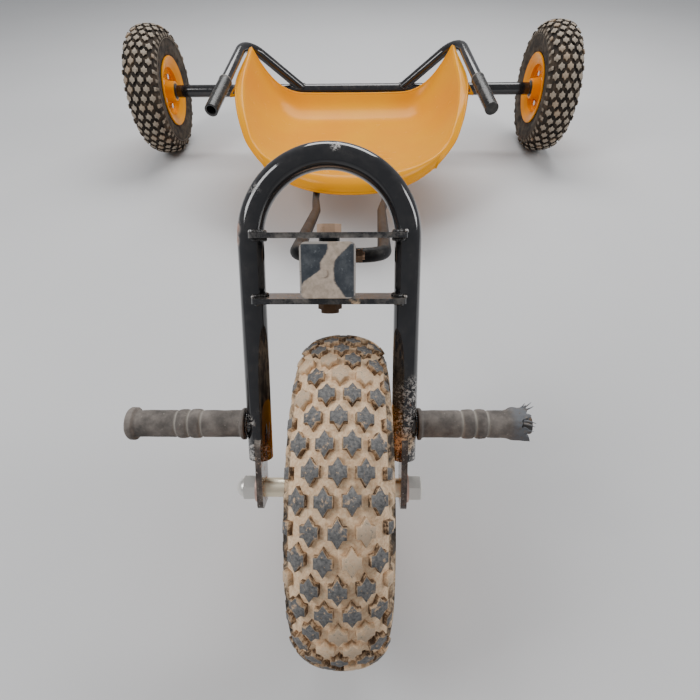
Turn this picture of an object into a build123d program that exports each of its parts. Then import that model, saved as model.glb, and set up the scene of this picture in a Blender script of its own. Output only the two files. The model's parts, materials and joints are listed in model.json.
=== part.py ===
"""Three-wheeled kart steered by the feet: raked front fork with foot pegs, round-bar rails,
moulded bucket seat and a straight rear axle.  Millimetres, +Z up, +Y towards the rear.
The origin is on the ground, midway between the two axles."""
from math import cos, radians, sin
import os

from build123d import *

os.makedirs("parts", exist_ok=True)

# --- driving dimensions -------------------------------------------------------------------
wheelbase = 980.0
track = 876.0                 # between the middles of the rear tyres
tyre_radius = 130.0           # over the tread
tyre_width = 74.0
tyre_wall = 5.0
rake = 33.5                   # steering axis, degrees back from vertical
fork_shift = -9.5             # the fork stands left of the wheel, on a longer left spacer

# wheel
rim_radius = 70.0
rim_half_width = 33.0
barrel_radius, barrel_wall = 52.0, 4.0
web_near, web_far = 7.0, 14.0
hub_radius = 22.0
hub_half_length = 36.0
spoke_count = 5
rim_bolt_circle, rim_bolt_radius = 31.0, 3.0
window_middle, window_length, window_width = 37.0, 20.0, 22.0
bearing_outer, bearing_width = 16.0, 10.0
axle_radius = 6.0
running_gap = 0.05            # radial, between an axle and its bearing or bush
face_gap = 0.3                # between a turning face and a fixed one
valve_x, valve_low, valve_high, valve_radius = 10.0, 41.0, 65.6, 3.2
nut_flats, washer_radius = 19.0, 12.0

# fork, measured up the steering axis from the front axle
leg_offset = 59.5
fork_tube_radius, fork_tube_wall = 10.0, 2.0
leg_foot = 28.0
lower_plate_at, upper_plate_at = 161.0, 208.5
arch_top = 265.0
plate_thick, plate_depth = 4.0, 42.0
dropout_thick, dropout_width = 5.0, 26.0
dropout_low, dropout_high = -15.0, 48.0
peg_at, peg_radius, peg_end = 57.6, 8.0, 162.0
grip_start, grip_end = 70.0, 168.0
grip_radius, grip_flange = 11.5, 13.5

# steering head
block_size, block_wall, block_corner = 40.0, 3.5, 5.0
block_front, block_back = -24.0, 34.0
block_middle = lower_plate_at + plate_thick / 2 + 1.0 + block_size / 2
cap_thick = 2.5
steer_bolt_radius, steer_nut_flats = 5.0, 16.0
sleeve_outer, sleeve_inner = 9.0, 7.0
bush_length = 12.0
bow_back, bow_lift = 25.0, 9.0
cross_bolt_radius, cross_bolt_back = 3.0, 12.4

# frame
rail_radius = 6.0
rail_front_half, rail_rear_half = 36.5, 61.0
rail_front_shift = -2.5       # the bow stands a little left of the middle
rail_waist_half, rail_waist_y = 46.0, -80.0
rail_level = 84.0
rail_knee_y, rail_rise_y = 82.0, 405.0
axle_tube_radius, axle_tube_wall = 12.7, 2.2
axle_tube_half = track / 2 - hub_half_length - 4.0
stub_plug_length = 50.0
side_tube_radius, side_tube_wall = 10.0, 1.5
side_bend = 45.0
handle_grip_length, handle_grip_wall = 96.0, 2.2

# seat
seat_thick = 4.0
seat_plate_thick = 3.0
seat_plate_depth = 60.0
seat_boss_half, seat_boss_radius = 35.0, 8.0
seat_boss_places = ((130.0, 118.5), (350.0, 99.0))    # middle in Y, top in Z
seat_bolt_radius, seat_bolt_top = 3.0, 97.0

# --- shared places and planes -------------------------------------------------------------
front_y, rear_y = -wheelbase / 2, wheelbase / 2
side_foot = (108.0, rear_y, tyre_radius)
side_knee = (224.0, 472.0, 232.0)
side_end = (254.0, 225.0, 182.0)
steer_up = Vector(0, sin(radians(rake)), cos(radians(rake)))
steer_back = Vector(0, cos(radians(rake)), -sin(radians(rake)))
fork_foot = Vector(fork_shift, front_y, tyre_radius)
fork_plane = Plane(origin=fork_foot, x_dir=(1, 0, 0), z_dir=steer_back * -1)


def steer_point(x, up, back=0.0):
    """A point given across, up and behind the steering axis."""
    return fork_foot + Vector(x, 0, 0) + steer_up * up + steer_back * back


def steer_plane(up):
    """A plane square to the steering axis; its y runs backwards."""
    return Plane(origin=steer_point(0, up), x_dir=(1, 0, 0), z_dir=steer_up)


def across_plane(at):
    """A plane square to X whose y runs up the steering axis."""
    return Plane(origin=at, x_dir=steer_back, z_dir=(1, 0, 0))


def hub_plane(hub, x=0.0):
    """A plane square to a wheel's axle, x to the right of its middle."""
    return Plane(origin=hub + Vector(x, 0, 0), x_dir=(0, 1, 0), z_dir=(1, 0, 0))


def section_plane(hub):
    """The half-plane above a wheel's axle, for sections in (across, radius)."""
    return Plane(origin=hub, x_dir=(1, 0, 0), z_dir=(0, -1, 0))


def save(piece, name):
    piece.part.label = name
    export_step(piece.part, f"parts/{name}.step")


def make_rod(at, length, radius, bore=0.0):
    """A round bar or sleeve along X, starting at a point."""
    with BuildPart() as rod:
        with BuildSketch(hub_plane(Vector(*at))):
            Circle(radius)
            if bore:
                Circle(bore, mode=Mode.SUBTRACT)
        extrude(amount=length)
    return rod


# --- wheels -------------------------------------------------------------------------------
def make_tyre(hub):
    half = tyre_width / 2
    with BuildPart() as tyre:
        with BuildSketch(section_plane(hub)):
            for skin, foot, mode in ((0, barrel_radius + 0.4, Mode.ADD),
                                     (tyre_wall, barrel_radius - 2, Mode.SUBTRACT)):
                bead, crown = 23.5 - skin, tyre_radius - 1.6 * skin
                with BuildLine():
                    Polyline((-bead, 66), (-bead, foot), (bead, foot), (bead, 66))
                    Spline((bead, 66), (31 - skin, 77), (half - skin, 96), (29 - skin, 118 - skin),
                           (0, crown), (skin - 29, 118 - skin), (skin - half, 96),
                           (skin - 31, 77), (-bead, 66))
                make_face(mode=mode)
        revolve(axis=Axis(hub, (1, 0, 0)))
    return tyre


def make_inner_tube(hub):
    with BuildPart() as tube:
        with BuildSketch(section_plane(hub)):
            with Locations((0, 92)):
                Ellipse(26, 26)
                Ellipse(24.5, 24.5, mode=Mode.SUBTRACT)
        revolve(axis=Axis(hub, (1, 0, 0)))
    return tube


def make_rim_half(hub, side):
    """One moulded half, from the joint in the middle out to its lip."""
    seat_near, inner = hub_half_length - bearing_width, barrel_radius - barrel_wall
    outline = [(0, 9.5), (seat_near, 9.5), (seat_near, bearing_outer),
               (hub_half_length - 0.5, bearing_outer), (hub_half_length - 0.5, 20),
               (web_far + 4, hub_radius), (web_far, hub_radius + 3), (web_far, inner - 3),
               (web_far + 3, inner), (25, inner), (29.5, 57), (rim_half_width, rim_radius - 2),
               (32, rim_radius), (30, rim_radius), (28.4, rim_radius - 2), (27.4, 60),
               (24, barrel_radius), (0, barrel_radius), (0, inner), (web_near, inner),
               (web_near, hub_radius), (0, hub_radius)]
    with BuildPart() as rim:
        with BuildSketch(section_plane(hub)):
            with BuildLine():
                Polyline(*[(side * x, r) for x, r in outline], close=True)
            make_face()
        revolve(axis=Axis(hub, (1, 0, 0)))
        with BuildSketch(hub_plane(hub, -web_far - 4)):     # windows between the spokes
            with PolarLocations(window_middle, spoke_count, start_angle=90):
                RectangleRounded(window_length, window_width, 4)
            with PolarLocations(rim_bolt_circle, spoke_count, start_angle=90 + 180 / spoke_count):
                Circle(rim_bolt_radius + 0.1)
        extrude(amount=2 * web_far + 8, mode=Mode.SUBTRACT)
        with BuildSketch(Plane(origin=hub + Vector(0, 0, inner - 2))):      # valve hole
            with Locations((side * valve_x, 0)):
                Circle(valve_radius + 0.2)
        extrude(amount=barrel_wall + 6, mode=Mode.SUBTRACT)
    return rim


def make_rim_bolts(hub):
    with BuildPart() as bolts:
        for start, length, hexagon in ((-web_far - 4, 4, True), (-web_far, 2 * web_far, False),
                                       (web_far, 5, True)):
            with BuildSketch(hub_plane(hub, start)):
                with PolarLocations(rim_bolt_circle, spoke_count,
                                    start_angle=90 + 180 / spoke_count):
                    if hexagon:
                        RegularPolygon(5, 6, major_radius=False)
                    else:
                        Circle(rim_bolt_radius)
            extrude(amount=length)
    return bolts


def make_bearings(hub):
    """The two sealed ball bearings, each as one ring that turns on the axle."""
    with BuildPart() as bearings:
        for start in (-hub_half_length, hub_half_length - bearing_width):
            with BuildSketch(hub_plane(hub, start)):
                Circle(bearing_outer)
                Circle(axle_radius + running_gap, mode=Mode.SUBTRACT)
            extrude(amount=bearing_width)
    return bearings


def make_valve(hub, side):
    """A bent stem: out of the inner tube, through the barrel, then along the axle."""
    end = hub_half_length - 6
    with BuildPart() as valve:
        with BuildLine(Plane(origin=hub, x_dir=(1, 0, 0), z_dir=(0, -1, 0))) as path:
            FilletPolyline((side * valve_x, valve_high), (side * valve_x, valve_low),
                           (side * end, valve_low), radius=6)
        with BuildSketch(Plane(origin=path.line @ 0, z_dir=path.line % 0)):
            Circle(valve_radius)
        sweep()
        with BuildSketch(hub_plane(hub + Vector(0, 0, valve_low), side * end)):
            Circle(valve_radius + 1)
        extrude(amount=side * 6)
    return valve


wheel_places = {"front": (0.0, front_y, -1), "left": (-track / 2, rear_y, -1),
                "right": (track / 2, rear_y, 1)}
for wheel, (wheel_x, wheel_y, valve_side) in wheel_places.items():
    hub = Vector(wheel_x, wheel_y, tyre_radius)
    spacer_start = hub - Vector(hub_half_length - bearing_width, 0, 0)
    spacer = make_rod(spacer_start, 2 * (hub_half_length - bearing_width), 9.0, 6.6)
    save(make_tyre(hub), f"{wheel}_tyre")
    save(make_inner_tube(hub), f"{wheel}_inner_tube")
    save(make_rim_half(hub, -1), f"{wheel}_rim_left")
    save(make_rim_half(hub, 1), f"{wheel}_rim_right")
    save(make_rim_bolts(hub), f"{wheel}_rim_bolts")
    save(make_bearings(hub), f"{wheel}_bearings")
    save(spacer, f"{wheel}_bearing_spacer")
    save(make_valve(hub, valve_side), f"{wheel}_valve")

# --- rear axle ----------------------------------------------------------------------------
axle_tube = make_rod((-axle_tube_half, rear_y, tyre_radius), 2 * axle_tube_half,
                     axle_tube_radius, axle_tube_radius - axle_tube_wall)
save(axle_tube, "rear_axle_tube")

hub_face = track / 2 + hub_half_length + face_gap
stub_end = hub_face + 12.0
for wheel, side in (("left", -1), ("right", 1)):
    with BuildPart() as stub:
        with BuildSketch(hub_plane(Vector(side * axle_tube_half, rear_y, tyre_radius))):
            Circle(axle_tube_radius - axle_tube_wall)
        extrude(amount=-side * stub_plug_length)
        with BuildSketch(hub_plane(Vector(side * axle_tube_half, rear_y, tyre_radius))):
            Circle(axle_radius)
        extrude(amount=side * (stub_end - axle_tube_half))
    save(stub, f"{wheel}_axle_stub")

with BuildPart() as rear_washers:
    for side in (-1, 1):
        for start, end in ((axle_tube_half, track / 2 - hub_half_length - face_gap),
                           (hub_face, hub_face + 2)):
            with BuildSketch(hub_plane(Vector(side * start, rear_y, tyre_radius))):
                Circle(washer_radius - 1)
                Circle(axle_radius + 0.1, mode=Mode.SUBTRACT)
            extrude(amount=side * (end - start))
save(rear_washers, "rear_washers")


def make_cap_nut(at, side, length):
    """A domed nut on an axle end; side says which way the dome points."""
    flat = length - 7.0
    with BuildPart() as nut:
        with BuildSketch(hub_plane(Vector(*at))):
            RegularPolygon(nut_flats / 2, 6, major_radius=False)
        extrude(amount=side * flat)
        dome = Plane(origin=Vector(*at), x_dir=(side, 0, 0), z_dir=(0, -side, 0))
        with BuildSketch(dome):
            with BuildLine():
                Polyline((flat, 8.6), (flat, 0), (length, 0))
                ThreePointArc((length, 0), (length - 2.2, 5.6), (flat, 8.6))
            make_face()
        revolve(axis=Axis(Vector(*at), (1, 0, 0)))
        with BuildSketch(hub_plane(Vector(*at))):
            Circle(axle_radius)
        extrude(amount=side * (length - 4.0), mode=Mode.SUBTRACT)
    return nut


with BuildPart() as rear_cap_nuts:
    for side in (-1, 1):
        add(make_cap_nut((side * (hub_face + 2), rear_y, tyre_radius), side, 15.0).part)
save(rear_cap_nuts, "rear_cap_nuts")

# --- fork ---------------------------------------------------------------------------------
arch_start = arch_top - leg_offset


def sweep_fork(bore):
    """The inverted U of the fork, solid or with its bore."""
    with BuildPart() as swept:
        with BuildLine(fork_plane):
            Line((-leg_offset, leg_foot), (-leg_offset, arch_start))
            ThreePointArc((-leg_offset, arch_start), (0, arch_top), (leg_offset, arch_start))
            Line((leg_offset, arch_start), (leg_offset, leg_foot))
        with BuildSketch(steer_plane(leg_foot)):
            with Locations((-leg_offset, 0)):
                Circle(fork_tube_radius)
                if bore:
                    Circle(bore, mode=Mode.SUBTRACT)
        sweep()
    return swept


fork_solid = sweep_fork(0)

dropouts = {}
for side_name, side in (("left", -1), ("right", 1)):
    middle = steer_point(side * leg_offset - dropout_thick / 2, 0)
    with BuildPart() as dropout:
        with BuildSketch(across_plane(middle)):
            with Locations((0, (dropout_low + dropout_high) / 2)):
                RectangleRounded(dropout_width, dropout_high - dropout_low, 6)
            Circle(axle_radius + 0.2, mode=Mode.SUBTRACT)
        extrude(amount=dropout_thick)
    save(dropout, f"dropout_{side_name}")
    dropouts[side_name] = dropout

with BuildPart() as fork_tube:
    add(sweep_fork(fork_tube_radius - fork_tube_wall).part)
    for dropout in dropouts.values():
        add(dropout.part, mode=Mode.SUBTRACT)
save(fork_tube, "fork_tube")

for plate_name, up in (("lower_fork_plate", lower_plate_at), ("upper_fork_plate", upper_plate_at)):
    with BuildPart() as plate:
        with BuildSketch(steer_plane(up - plate_thick / 2)):
            RectangleRounded(2 * leg_offset - 4, plate_depth, 4)
            Circle(steer_bolt_radius + 0.2, mode=Mode.SUBTRACT)
        extrude(amount=plate_thick)
        add(fork_solid.part, mode=Mode.SUBTRACT)
    save(plate, plate_name)

for side_name, side in (("left", -1), ("right", 1)):
    start = steer_point(side * leg_offset, peg_at)
    with BuildPart() as peg:
        with BuildSketch(across_plane(start)):
            Circle(peg_radius)
            Circle(peg_radius - 2, mode=Mode.SUBTRACT)
        extrude(amount=side * (peg_end - leg_offset))
        add(fork_solid.part, mode=Mode.SUBTRACT)
    save(peg, f"peg_bar_{side_name}")

    # the left grip is whole; the right one is worn through at its end
    reach = (grip_end if side < 0 else peg_end - 3.0) - grip_start
    closed = side < 0
    bore_end = peg_end - grip_start
    outline = [(0, peg_radius), (0, grip_flange), (3, grip_flange), (4, grip_radius - 0.6),
               (30, grip_radius - 0.6), (32, grip_radius + 0.8), (42, grip_radius),
               (44, grip_radius + 0.8), (56, grip_radius), (58, grip_radius)]
    if closed:
        outline += [(reach - 5, grip_radius), (reach - 3, grip_flange), (reach - 1, grip_flange),
                    (reach, grip_flange - 2), (reach, 0), (bore_end, 0), (bore_end, peg_radius)]
    else:
        outline += [(reach - 2, grip_radius), (reach, grip_radius - 1.5), (reach, peg_radius)]
    at = steer_point(side * grip_start, peg_at)
    with BuildPart() as grip:
        with BuildSketch(Plane(origin=at, x_dir=(side, 0, 0), z_dir=steer_back * -side)):
            with BuildLine():
                Polyline(*outline, close=True)
            make_face()
        revolve(axis=Axis(at, (1, 0, 0)))
    save(grip, f"peg_grip_{side_name}")

# --- front axle hardware ------------------------------------------------------------------
drop_outer = leg_offset + dropout_thick / 2
drop_inner = leg_offset - dropout_thick / 2
left_face, right_face = fork_shift - drop_outer - 2.0, fork_shift + drop_outer + 2.0
with BuildPart() as front_axle_bolt:
    with BuildSketch(hub_plane(Vector(left_face - 10, front_y, tyre_radius))):
        Circle(axle_radius)
    extrude(amount=right_face - left_face + 10)
    with BuildSketch(hub_plane(Vector(right_face, front_y, tyre_radius))):
        RegularPolygon(nut_flats / 2, 6, major_radius=False)
    extrude(amount=11)
    chamfer(front_axle_bolt.faces().sort_by(Axis.X)[-1].edges(), 1.2)
save(front_axle_bolt, "front_axle_bolt")
save(make_cap_nut((left_face, front_y, tyre_radius), -1, 17.0), "front_cap_nut")

with BuildPart() as front_washers:
    for start in (left_face, right_face - 2.0):
        with BuildSketch(hub_plane(Vector(start, front_y, tyre_radius))):
            Circle(washer_radius)
            Circle(axle_radius + 0.1, mode=Mode.SUBTRACT)
        extrude(amount=2.0)
save(front_washers, "front_washers")

wheel_face = hub_half_length + face_gap
left_spacer = make_rod((fork_shift - drop_inner, front_y, tyre_radius),
                       drop_inner - fork_shift - wheel_face, 8.0, axle_radius + 0.1)
right_spacer = make_rod((wheel_face, front_y, tyre_radius),
                        fork_shift + drop_inner - wheel_face, 8.0, axle_radius + 0.1)
save(left_spacer, "front_spacer_left")
save(right_spacer, "front_spacer_right")

# --- main rail: one bar, bent to a bow at the steering head ---------------------------------
bow = steer_point(0, block_middle + bow_lift, bow_back)
rail_end_z = tyre_radius - axle_tube_radius - rail_radius
waist_share = (rail_knee_y - rail_waist_y) / (rail_knee_y - bow.Y)
waist_z = rail_level + (bow.Z - rail_level) * waist_share
half_route = [(rail_waist_half, rail_waist_y, waist_z), (rail_rear_half, rail_knee_y, rail_level),
              (rail_rear_half, rail_rise_y, rail_level), (rail_rear_half, rear_y, rail_end_z)]
bow_route = [(rail_front_shift - rail_front_half, bow.Y, bow.Z),
             (rail_front_shift + rail_front_half, bow.Y, bow.Z)]
rail_route = [(-x, y, z) for x, y, z in reversed(half_route)] + bow_route + half_route
with BuildPart() as main_rail:
    with BuildLine() as rail_path:
        FilletPolyline(*rail_route, radius=[60, 60, 60, 20, 20, 60, 60, 60])
    with BuildSketch(Plane(origin=rail_path.line @ 0, z_dir=rail_path.line % 0)):
        Circle(rail_radius)
    sweep()
    add(axle_tube.part, mode=Mode.SUBTRACT)
save(main_rail, "main_rail")

# --- steering head ------------------------------------------------------------------------
block_bottom, block_top = block_middle - block_size / 2, block_middle + block_size / 2
cross_at = steer_point(0, block_middle + bow_lift, cross_bolt_back)
block_face = Plane(origin=steer_point(0, block_middle, block_front), x_dir=(1, 0, 0),
                   z_dir=steer_back)
with BuildPart() as head_block:
    with BuildSketch(block_face):
        RectangleRounded(block_size, block_size, block_corner)
        RectangleRounded(block_size - 2 * block_wall, block_size - 2 * block_wall, 2,
                         mode=Mode.SUBTRACT)
    extrude(amount=block_back - block_front)
    with BuildSketch(steer_plane(block_bottom - 1)):
        Circle(sleeve_outer)
    extrude(amount=block_size + 2, mode=Mode.SUBTRACT)
    with BuildSketch(across_plane(cross_at - Vector(block_size, 0, 0))):
        Circle(cross_bolt_radius + 0.1)
    extrude(amount=2 * block_size, mode=Mode.SUBTRACT)
    add(main_rail.part, mode=Mode.SUBTRACT)
save(head_block, "head_block")

with BuildPart() as head_cap:
    with BuildSketch(block_face):
        RectangleRounded(block_size, block_size, block_corner)
    extrude(amount=-cap_thick)
    with BuildSketch(block_face.offset(-cap_thick)):
        with Locations((-3, 2)):
            Circle(3)
    extrude(amount=-0.8)
save(head_cap, "head_cap")

with BuildPart() as steering_sleeve:
    with BuildSketch(steer_plane(block_bottom)):
        Circle(sleeve_outer)
        Circle(sleeve_inner, mode=Mode.SUBTRACT)
    extrude(amount=block_size)
save(steering_sleeve, "steering_sleeve")

with BuildPart() as steering_bushes:
    for start in (block_bottom, block_top - bush_length):
        with BuildSketch(steer_plane(start)):
            Circle(sleeve_inner)
            Circle(steer_bolt_radius + running_gap, mode=Mode.SUBTRACT)
        extrude(amount=bush_length)
save(steering_bushes, "steering_bushes")

under_lower, over_upper = lower_plate_at - plate_thick / 2, upper_plate_at + plate_thick / 2
with BuildPart() as steering_bolt:
    with BuildSketch(steer_plane(under_lower - 9)):
        Circle(steer_bolt_radius)
    extrude(amount=over_upper - under_lower + 9)
    with BuildSketch(steer_plane(over_upper)):
        RegularPolygon(steer_nut_flats / 2, 6, major_radius=False)
    extrude(amount=6.4)
save(steering_bolt, "steering_bolt")

with BuildPart() as steering_washers:
    for start, end, radius in ((lower_plate_at + plate_thick / 2, block_bottom - face_gap / 2, 8),
                               (block_top + face_gap / 2, upper_plate_at - plate_thick / 2, 8)):
        with BuildSketch(steer_plane(start)):
            Circle(radius)
            Circle(steer_bolt_radius + 0.1, mode=Mode.SUBTRACT)
        extrude(amount=end - start)
save(steering_washers, "steering_washers")

with BuildPart() as steering_nut:
    with BuildSketch(steer_plane(under_lower - 6)):
        RegularPolygon(steer_nut_flats / 2, 6, major_radius=False)
        Circle(steer_bolt_radius, mode=Mode.SUBTRACT)
    extrude(amount=6)
    with BuildSketch(steer_plane(under_lower - 6)):
        Circle(7)
        Circle(steer_bolt_radius, mode=Mode.SUBTRACT)
    extrude(amount=-3)
save(steering_nut, "steering_nut")

half_block = block_size / 2
with BuildPart() as cross_bolt:
    for start, length, flats in ((-half_block - 4, 4, 10), (-half_block, block_size + 7, 0),
                                 (half_block + 0.2, 5, 10)):
        with BuildSketch(across_plane(cross_at + Vector(start, 0, 0))):
            if flats:
                RegularPolygon(flats / 2, 6, major_radius=False)
            else:
                Circle(cross_bolt_radius)
        extrude(amount=length)
save(cross_bolt, "head_cross_bolt")

# --- side tubes and handles ---------------------------------------------------------------
with BuildPart() as axle_solid:
    with BuildSketch(hub_plane(Vector(-axle_tube_half, rear_y, tyre_radius))):
        Circle(axle_tube_radius)
    extrude(amount=2 * axle_tube_half)


def mirrored(point, side):
    return (side * point[0], point[1], point[2])


for side_name, side in (("left", -1), ("right", 1)):
    with BuildPart() as side_tube:
        with BuildLine() as side_path:
            FilletPolyline(*[mirrored(p, side) for p in (side_foot, side_knee, side_end)],
                           radius=side_bend)
        with BuildSketch(Plane(origin=side_path.line @ 0, z_dir=side_path.line % 0)):
            Circle(side_tube_radius)
            Circle(side_tube_radius - side_tube_wall, mode=Mode.SUBTRACT)
        sweep()
        add(axle_solid.part, mode=Mode.SUBTRACT)
    save(side_tube, f"side_tube_{side_name}")

    mouth = Plane(origin=side_path.line @ 1, z_dir=(side_path.line % 1) * -1)
    with BuildPart() as handle_grip:
        with BuildSketch(mouth):
            Circle(side_tube_radius + handle_grip_wall)
            Circle(side_tube_radius, mode=Mode.SUBTRACT)
        extrude(amount=handle_grip_length)
    save(handle_grip, f"handle_grip_{side_name}")

with BuildPart() as handle_plug:
    bore = side_tube_radius - side_tube_wall
    with BuildSketch(mouth):
        Circle(bore)
    extrude(amount=14)
    with BuildSketch(mouth):
        Circle(side_tube_radius + handle_grip_wall)
    extrude(amount=-3)
    chamfer(handle_plug.faces().sort_by(Axis(mouth.origin, mouth.z_dir))[0].edges(), 1)
save(handle_plug, "handle_plug_right")

# --- seat ---------------------------------------------------------------------------------
# Stations from the front lip to the rear rim: the middle (y, z), the wing edge (x, y, z) and
# the outer edge of the rolled flange (x, y, z).
seat_stations = [
    ((61, 104), (150, 137, 114), (156, 135, 110)),
    ((62, 116), (153, 140, 122), (160, 138, 117)),
    ((76, 126), (160, 148, 129), (169, 146, 124)),
    ((110, 122), (176, 174, 143), (186, 172, 138)),
    ((170, 113), (190, 212, 161), (201, 211, 156)),
    ((250, 104), (203, 272, 182), (217, 271, 180)),
    ((340, 101), (211, 350, 202), (226, 350, 198)),
    ((398, 108), (209, 405, 217), (219, 405, 212)),
    ((424, 122), (208, 428, 224), (214, 428, 220)),
    ((438, 139), (206, 439, 229), (211, 440, 226)),
]
steps_across = 10


def seat_row(station):
    """One row of points, left to right: a flat pan, then a wall that steepens up to the wing."""
    (mid_y, mid_z), (edge_x, edge_y, edge_z), flange = station
    row = []
    for step in range(-steps_across, steps_across + 1):
        share = abs(step) / steps_across
        climb = max((share - 0.45) / 0.55, 0)
        wall = 0.03 * share ** 2 + 0.97 * climb ** 2.8
        row.append((edge_x * step / steps_across, mid_y + (edge_y - mid_y) * share ** 2.2,
                    mid_z + (edge_z - mid_z) * wall))
    return [mirrored(flange, -1)] + row + [flange]


plate_bottom = rail_level + rail_radius
boss_bottom = plate_bottom + seat_plate_thick
bolt_places = [(x, middle) for middle, top in seat_boss_places
               for x in (-seat_boss_half, seat_boss_half)]
with BuildPart() as seat_bolts:
    with BuildSketch(Plane.XY.offset(plate_bottom)):
        with Locations(*bolt_places):
            RegularPolygon(5, 6, major_radius=False)
    extrude(amount=-4)
    with BuildSketch(Plane.XY.offset(plate_bottom)):
        with Locations(*bolt_places):
            Circle(seat_bolt_radius)
    extrude(amount=seat_bolt_top - plate_bottom)
save(seat_bolts, "seat_bolts")

with BuildPart() as seat_plates:
    with BuildSketch(Plane.XY.offset(plate_bottom)):
        for middle, top in seat_boss_places:
            with Locations((0, middle)):
                RectangleRounded(2 * rail_rear_half + 16, seat_plate_depth, 6)
        with Locations(*bolt_places):
            Circle(seat_bolt_radius, mode=Mode.SUBTRACT)
    extrude(amount=seat_plate_thick)
save(seat_plates, "seat_plates")

seat_surface = Face.make_surface_from_array_of_points([
    [Vector(*point) for point in seat_row(station)] for station in seat_stations])
downwards = seat_surface.normal_at(seat_surface.center()).Z < 0
with BuildPart() as seat_shell:
    thicken(seat_surface, amount=seat_thick if downwards else -seat_thick)
    for middle, boss_top in seat_boss_places:
        with BuildSketch(Plane.XY.offset(boss_bottom)):
            with Locations((-seat_boss_half, middle), (seat_boss_half, middle)):
                Circle(seat_boss_radius)
        extrude(amount=boss_top - boss_bottom)
    add(seat_bolts.part, mode=Mode.SUBTRACT)
save(seat_shell, "seat_shell")
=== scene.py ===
import json
from math import cos, pi, sin, tau

import bpy
import numpy as np
from mathutils import Matrix, Vector


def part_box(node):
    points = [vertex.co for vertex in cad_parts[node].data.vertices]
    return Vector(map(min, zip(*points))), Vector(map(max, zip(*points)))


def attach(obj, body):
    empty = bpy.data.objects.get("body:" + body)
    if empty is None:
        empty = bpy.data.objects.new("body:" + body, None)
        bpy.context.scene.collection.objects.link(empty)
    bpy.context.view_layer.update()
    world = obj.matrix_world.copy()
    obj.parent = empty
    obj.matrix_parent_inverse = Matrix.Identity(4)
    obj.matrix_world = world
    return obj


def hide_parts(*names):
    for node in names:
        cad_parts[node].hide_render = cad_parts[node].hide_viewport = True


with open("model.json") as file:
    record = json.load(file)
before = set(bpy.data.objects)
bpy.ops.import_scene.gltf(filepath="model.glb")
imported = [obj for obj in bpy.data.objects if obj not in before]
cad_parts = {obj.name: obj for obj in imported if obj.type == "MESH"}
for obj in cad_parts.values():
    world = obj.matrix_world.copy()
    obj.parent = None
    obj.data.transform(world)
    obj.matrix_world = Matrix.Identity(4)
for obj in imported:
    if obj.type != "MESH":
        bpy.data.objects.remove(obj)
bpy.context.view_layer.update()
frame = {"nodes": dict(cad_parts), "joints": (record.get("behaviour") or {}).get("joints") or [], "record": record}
print("frame loaded:", len(frame["nodes"]), "nodes")

# Places read from the frame
joints = {joint["name"]: joint for joint in frame["joints"]}
steerAt = np.array(joints["steer"]["pos_m"])
steerUp = np.array(joints["steer"]["axis"])
steerUp = steerUp / np.linalg.norm(steerUp)
across = np.array([1.0, 0.0, 0.0])
steerBack = np.cross(steerUp, across)                 # square to the axis, towards the seat
hubs = {}
for side in ("front", "left", "right"):
    low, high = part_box(side + "_tyre")
    hubs[side] = (np.array(low) + np.array(high)) / 2
axleOnSteer = hubs["front"] * [0, 1, 1] + steerAt * [1, 0, 0]    # foot of the steering axis


# A place given across, up and behind the steering axis, from the front axle.
def steerPoint(x, up, back=0.0):
    return axleOnSteer + across * x + steerUp * up + steerBack * back


# Camera, floor and light
view = {"at": (0.0116, -0.684, 0.5028), "yaw": -0.022, "pitch": 0.809, "roll": -0.016,
        "focal": 24.4, "sensor": 36.0}


# Looks along the direction of yaw and pitch, then leans by roll.
def makeCamera():
    yaw, pitch, roll = view["yaw"], view["pitch"], view["roll"]
    ahead = Vector((sin(yaw) * cos(pitch), cos(yaw) * cos(pitch), -sin(pitch)))
    right = Vector((cos(yaw), -sin(yaw), 0))
    up = right.cross(ahead)
    leanRight = right * cos(roll) + up * sin(roll)
    leanUp = up * cos(roll) - right * sin(roll)
    data = bpy.data.cameras.new("view")
    data.lens, data.sensor_width = view["focal"], view["sensor"]
    data.clip_start = 0.01
    camera = bpy.data.objects.new("view", data)
    turn = Matrix((leanRight, leanUp, -ahead)).transposed()
    camera.matrix_world = Matrix.Translation(view["at"]) @ turn.to_4x4()
    bpy.context.collection.objects.link(camera)
    bpy.context.scene.camera = camera


studio = {"sky": (0.86, 0.88, 0.92), "skyPower": 0.42,
          "softboxes": [((0.2, 1.3, 1.7), (0.0, 0.1, 0.1), (1.7, 0.9), 36),
                        ((-1.4, -0.7, 1.6), (0.0, -0.1, 0.2), (0.7, 1.1), 24),
                        ((1.7, -0.3, 1.1), (0.0, 0.0, 0.2), (0.5, 0.9), 13)]}


# An even sky and three soft boxes: above and behind the seat, high left, and a weak one right.
def makeLight():
    world = bpy.data.worlds.new("studio")
    world.use_nodes = True
    sky = world.node_tree.nodes["Background"]
    sky.inputs["Color"].default_value = (*studio["sky"], 1)
    sky.inputs["Strength"].default_value = studio["skyPower"]
    bpy.context.scene.world = world
    for number, (at, aim, size, power) in enumerate(studio["softboxes"]):
        data = bpy.data.lights.new("softbox" + str(number), "AREA")
        data.shape, data.size, data.size_y, data.energy = "RECTANGLE", size[0], size[1], power
        lamp = bpy.data.objects.new(data.name, data)
        lamp.location = at
        lamp.rotation_euler = (Vector(aim) - Vector(at)).to_track_quat("-Z", "Y").to_euler()
        bpy.context.collection.objects.link(lamp)


# Mesh helpers

# 0 below low, 1 above high, an S curve between.
def smoothStep(value, low, high):
    t = np.clip((value - low) / (high - low), 0, 1)
    return t * t * (3 - 2 * t)


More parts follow.
